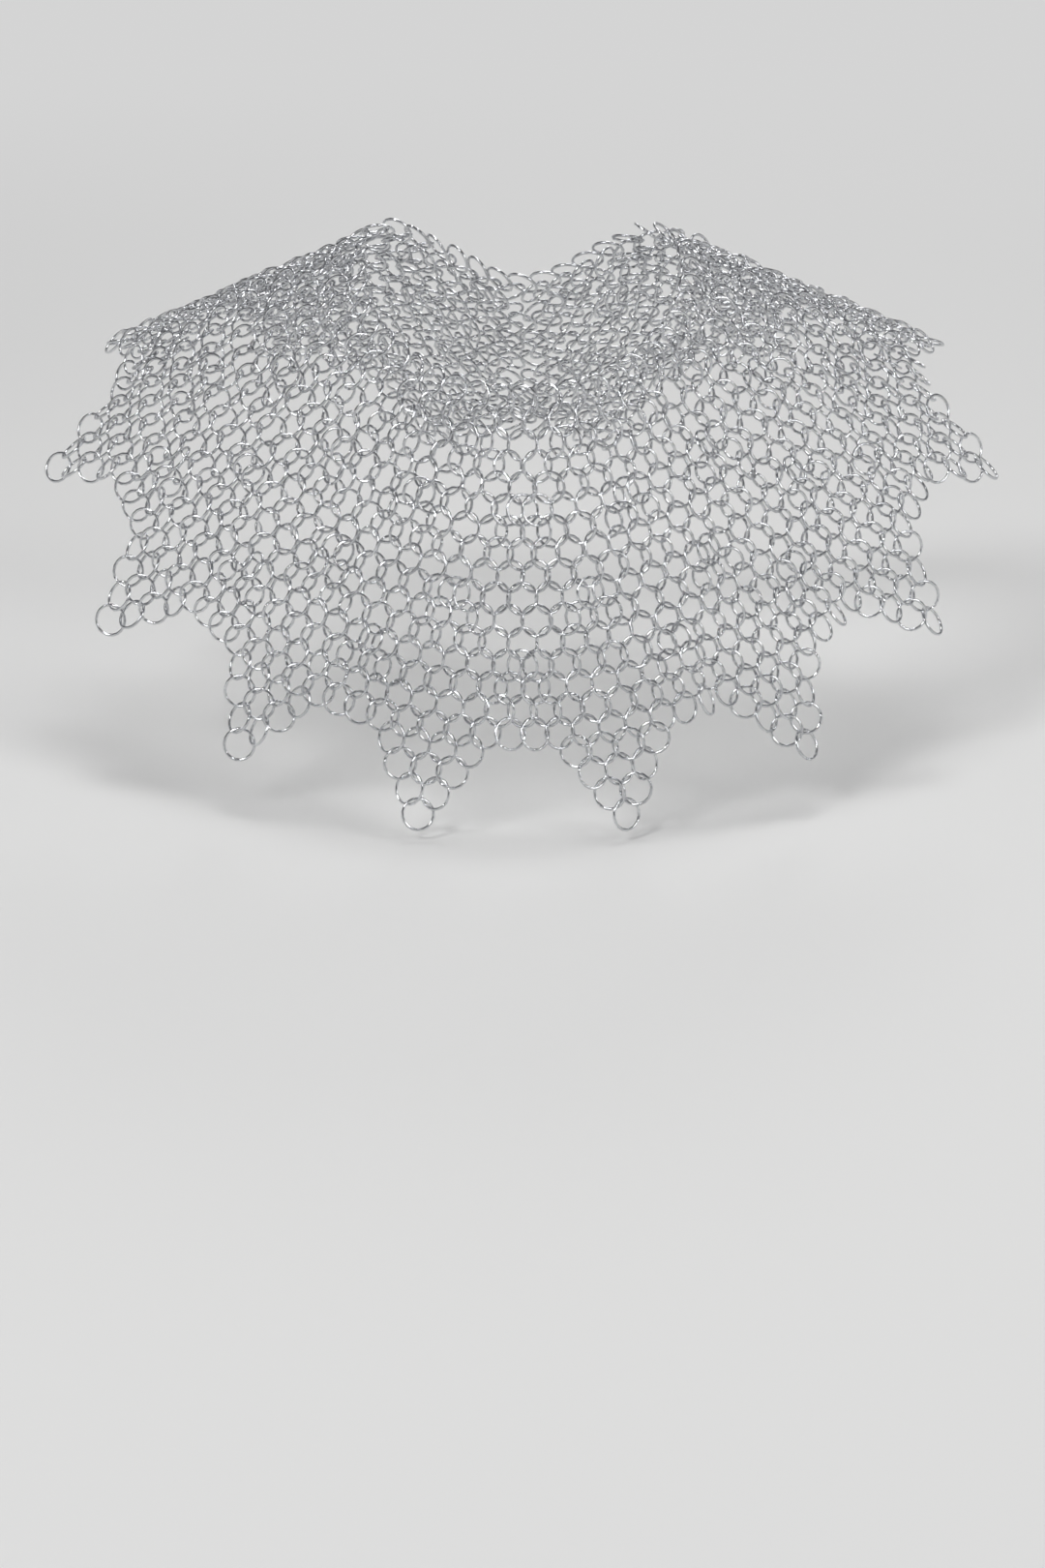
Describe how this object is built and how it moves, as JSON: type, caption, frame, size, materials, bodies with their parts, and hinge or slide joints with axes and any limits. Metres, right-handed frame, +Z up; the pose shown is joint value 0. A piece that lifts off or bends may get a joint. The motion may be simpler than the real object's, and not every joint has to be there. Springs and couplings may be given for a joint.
{
  "type": "chainmail neck guard",
  "caption": "Round mantle of linked wire rings, worn over the neck, shoulders and upper chest, with a lower edge cut into points.",
  "frame": {"origin": "middle of the neck opening, half way between the front and the back of the neck course", "axes": "+X to the wearer's left, -Y to the front, +Z up, as the mantle lies on a wearer who stands"},
  "size_m": [0.3815, 0.2574, 0.2043],
  "materials": {
    "ring_wire": "bright",
    "hook_wire": "bright"
  },
  "bodies": {
    "mantle": {"course_00": "ring_wire", "course_01": "ring_wire", "course_02": "ring_wire", "course_03": "ring_wire", "course_04": "ring_wire", "course_05": "ring_wire", "course_06": "ring_wire", "course_07": "ring_wire", "course_08": "ring_wire", "course_09": "ring_wire", "course_10": "ring_wire", "course_11": "ring_wire", "course_12": "ring_wire", "course_13": "ring_wire", "course_14": "ring_wire", "course_15": "ring_wire"},
    "point_01": {"point_01": "ring_wire"},
    "point_02": {"point_02": "ring_wire"},
    "point_03": {"point_03": "ring_wire"},
    "point_04": {"point_04": "ring_wire"},
    "point_05": {"point_05": "ring_wire"},
    "point_06": {"point_06": "ring_wire"},
    "point_07": {"point_07": "ring_wire"},
    "point_08": {"point_08": "ring_wire"},
    "point_09": {"point_09": "ring_wire"},
    "point_10": {"point_10": "ring_wire"},
    "point_11": {"point_11": "ring_wire"},
    "point_12": {"point_12": "ring_wire"},
    "point_13": {"point_13": "ring_wire"},
    "point_14": {"point_14": "ring_wire"},
    "hooked_ring_1": {"hooked_ring_1": "hook_wire"},
    "hooked_ring_2": {"hooked_ring_2": "hook_wire"},
    "hooked_ring_3": {"hooked_ring_3": "hook_wire"},
    "hooked_ring_4": {"hooked_ring_4": "hook_wire"}
  },
  "joints": [
    {"name": "point_01_swing", "type": "hinge", "parent": "mantle", "child": "point_01", "pos_m": [0.03411, -0.07616, -0.13163], "axis": [-0.9714, -0.2131, -0.105], "range_deg": [0, 15]},
    {"name": "point_02_swing", "type": "hinge", "parent": "mantle", "child": "point_02", "pos_m": [0.09462, -0.0478, -0.11774], "axis": [-0.7685, -0.5627, -0.3044], "range_deg": [0, 15]},
    {"name": "point_03_swing", "type": "hinge", "parent": "mantle", "child": "point_03", "pos_m": [0.13983, -0.00532, -0.08863], "axis": [-0.5309, -0.6595, -0.5322], "range_deg": [0, 15]},
    {"name": "point_04_swing", "type": "hinge", "parent": "mantle", "child": "point_04", "pos_m": [0.16214, 0.04574, -0.04937], "axis": [-0.0761, -0.8245, -0.5607], "range_deg": [0, 15]},
    {"name": "point_05_swing", "type": "hinge", "parent": "mantle", "child": "point_05", "pos_m": [0.14649, 0.10404, -0.01948], "axis": [0.554, -0.8065, -0.2063], "range_deg": [0, 15]},
    {"name": "point_06_swing", "type": "hinge", "parent": "mantle", "child": "point_06", "pos_m": [0.09339, 0.14034, -0.03278], "axis": [0.8533, -0.1953, 0.4834], "range_deg": [0, 15]},
    {"name": "point_07_swing", "type": "hinge", "parent": "mantle", "child": "point_07", "pos_m": [0.03334, 0.14001, -0.06576], "axis": [0.9224, 0.1158, 0.3685], "range_deg": [0, 15]},
    {"name": "point_08_swing", "type": "hinge", "parent": "mantle", "child": "point_08", "pos_m": [-0.03334, 0.14001, -0.06576], "axis": [0.9224, -0.1158, -0.3685], "range_deg": [0, 15]},
    {"name": "point_09_swing", "type": "hinge", "parent": "mantle", "child": "point_09", "pos_m": [-0.09339, 0.14034, -0.03278], "axis": [0.8533, 0.1953, -0.4834], "range_deg": [0, 15]},
    {"name": "point_10_swing", "type": "hinge", "parent": "mantle", "child": "point_10", "pos_m": [-0.14649, 0.10404, -0.01948], "axis": [0.554, 0.8065, 0.2063], "range_deg": [0, 15]},
    {"name": "point_11_swing", "type": "hinge", "parent": "mantle", "child": "point_11", "pos_m": [-0.16214, 0.04574, -0.04937], "axis": [-0.0761, 0.8245, 0.5607], "range_deg": [0, 15]},
    {"name": "point_12_swing", "type": "hinge", "parent": "mantle", "child": "point_12", "pos_m": [-0.13983, -0.00532, -0.08863], "axis": [-0.5309, 0.6595, 0.5322], "range_deg": [0, 15]},
    {"name": "point_13_swing", "type": "hinge", "parent": "mantle", "child": "point_13", "pos_m": [-0.09462, -0.0478, -0.11774], "axis": [-0.7685, 0.5627, 0.3044], "range_deg": [0, 15]},
    {"name": "point_14_swing", "type": "hinge", "parent": "mantle", "child": "point_14", "pos_m": [-0.03411, -0.07616, -0.13163], "axis": [-0.9714, 0.2131, 0.105], "range_deg": [0, 15]},
    {"name": "hooked_ring_1_turn", "type": "hinge", "parent": "mantle", "child": "hooked_ring_1", "pos_m": [0, 0.04301, 0.01201], "axis": [0.3827, 0.6179, 0.6869], "range_deg": [-75, 75]},
    {"name": "hooked_ring_2_turn", "type": "hinge", "parent": "mantle", "child": "hooked_ring_2", "pos_m": [0, 0.0668, -0.0094], "axis": [0.3827, 0.6179, 0.6869], "range_deg": [-75, 75]},
    {"name": "hooked_ring_3_turn", "type": "hinge", "parent": "mantle", "child": "hooked_ring_3", "pos_m": [0, 0.08499, -0.02576], "axis": [-0.3827, 0.6179, 0.6869], "range_deg": [-75, 75]},
    {"name": "hooked_ring_4_turn", "type": "hinge", "parent": "mantle", "child": "hooked_ring_4", "pos_m": [0, 0.10969, -0.04798], "axis": [-0.3827, 0.6179, 0.6869], "range_deg": [-75, 75]}
  ]
}
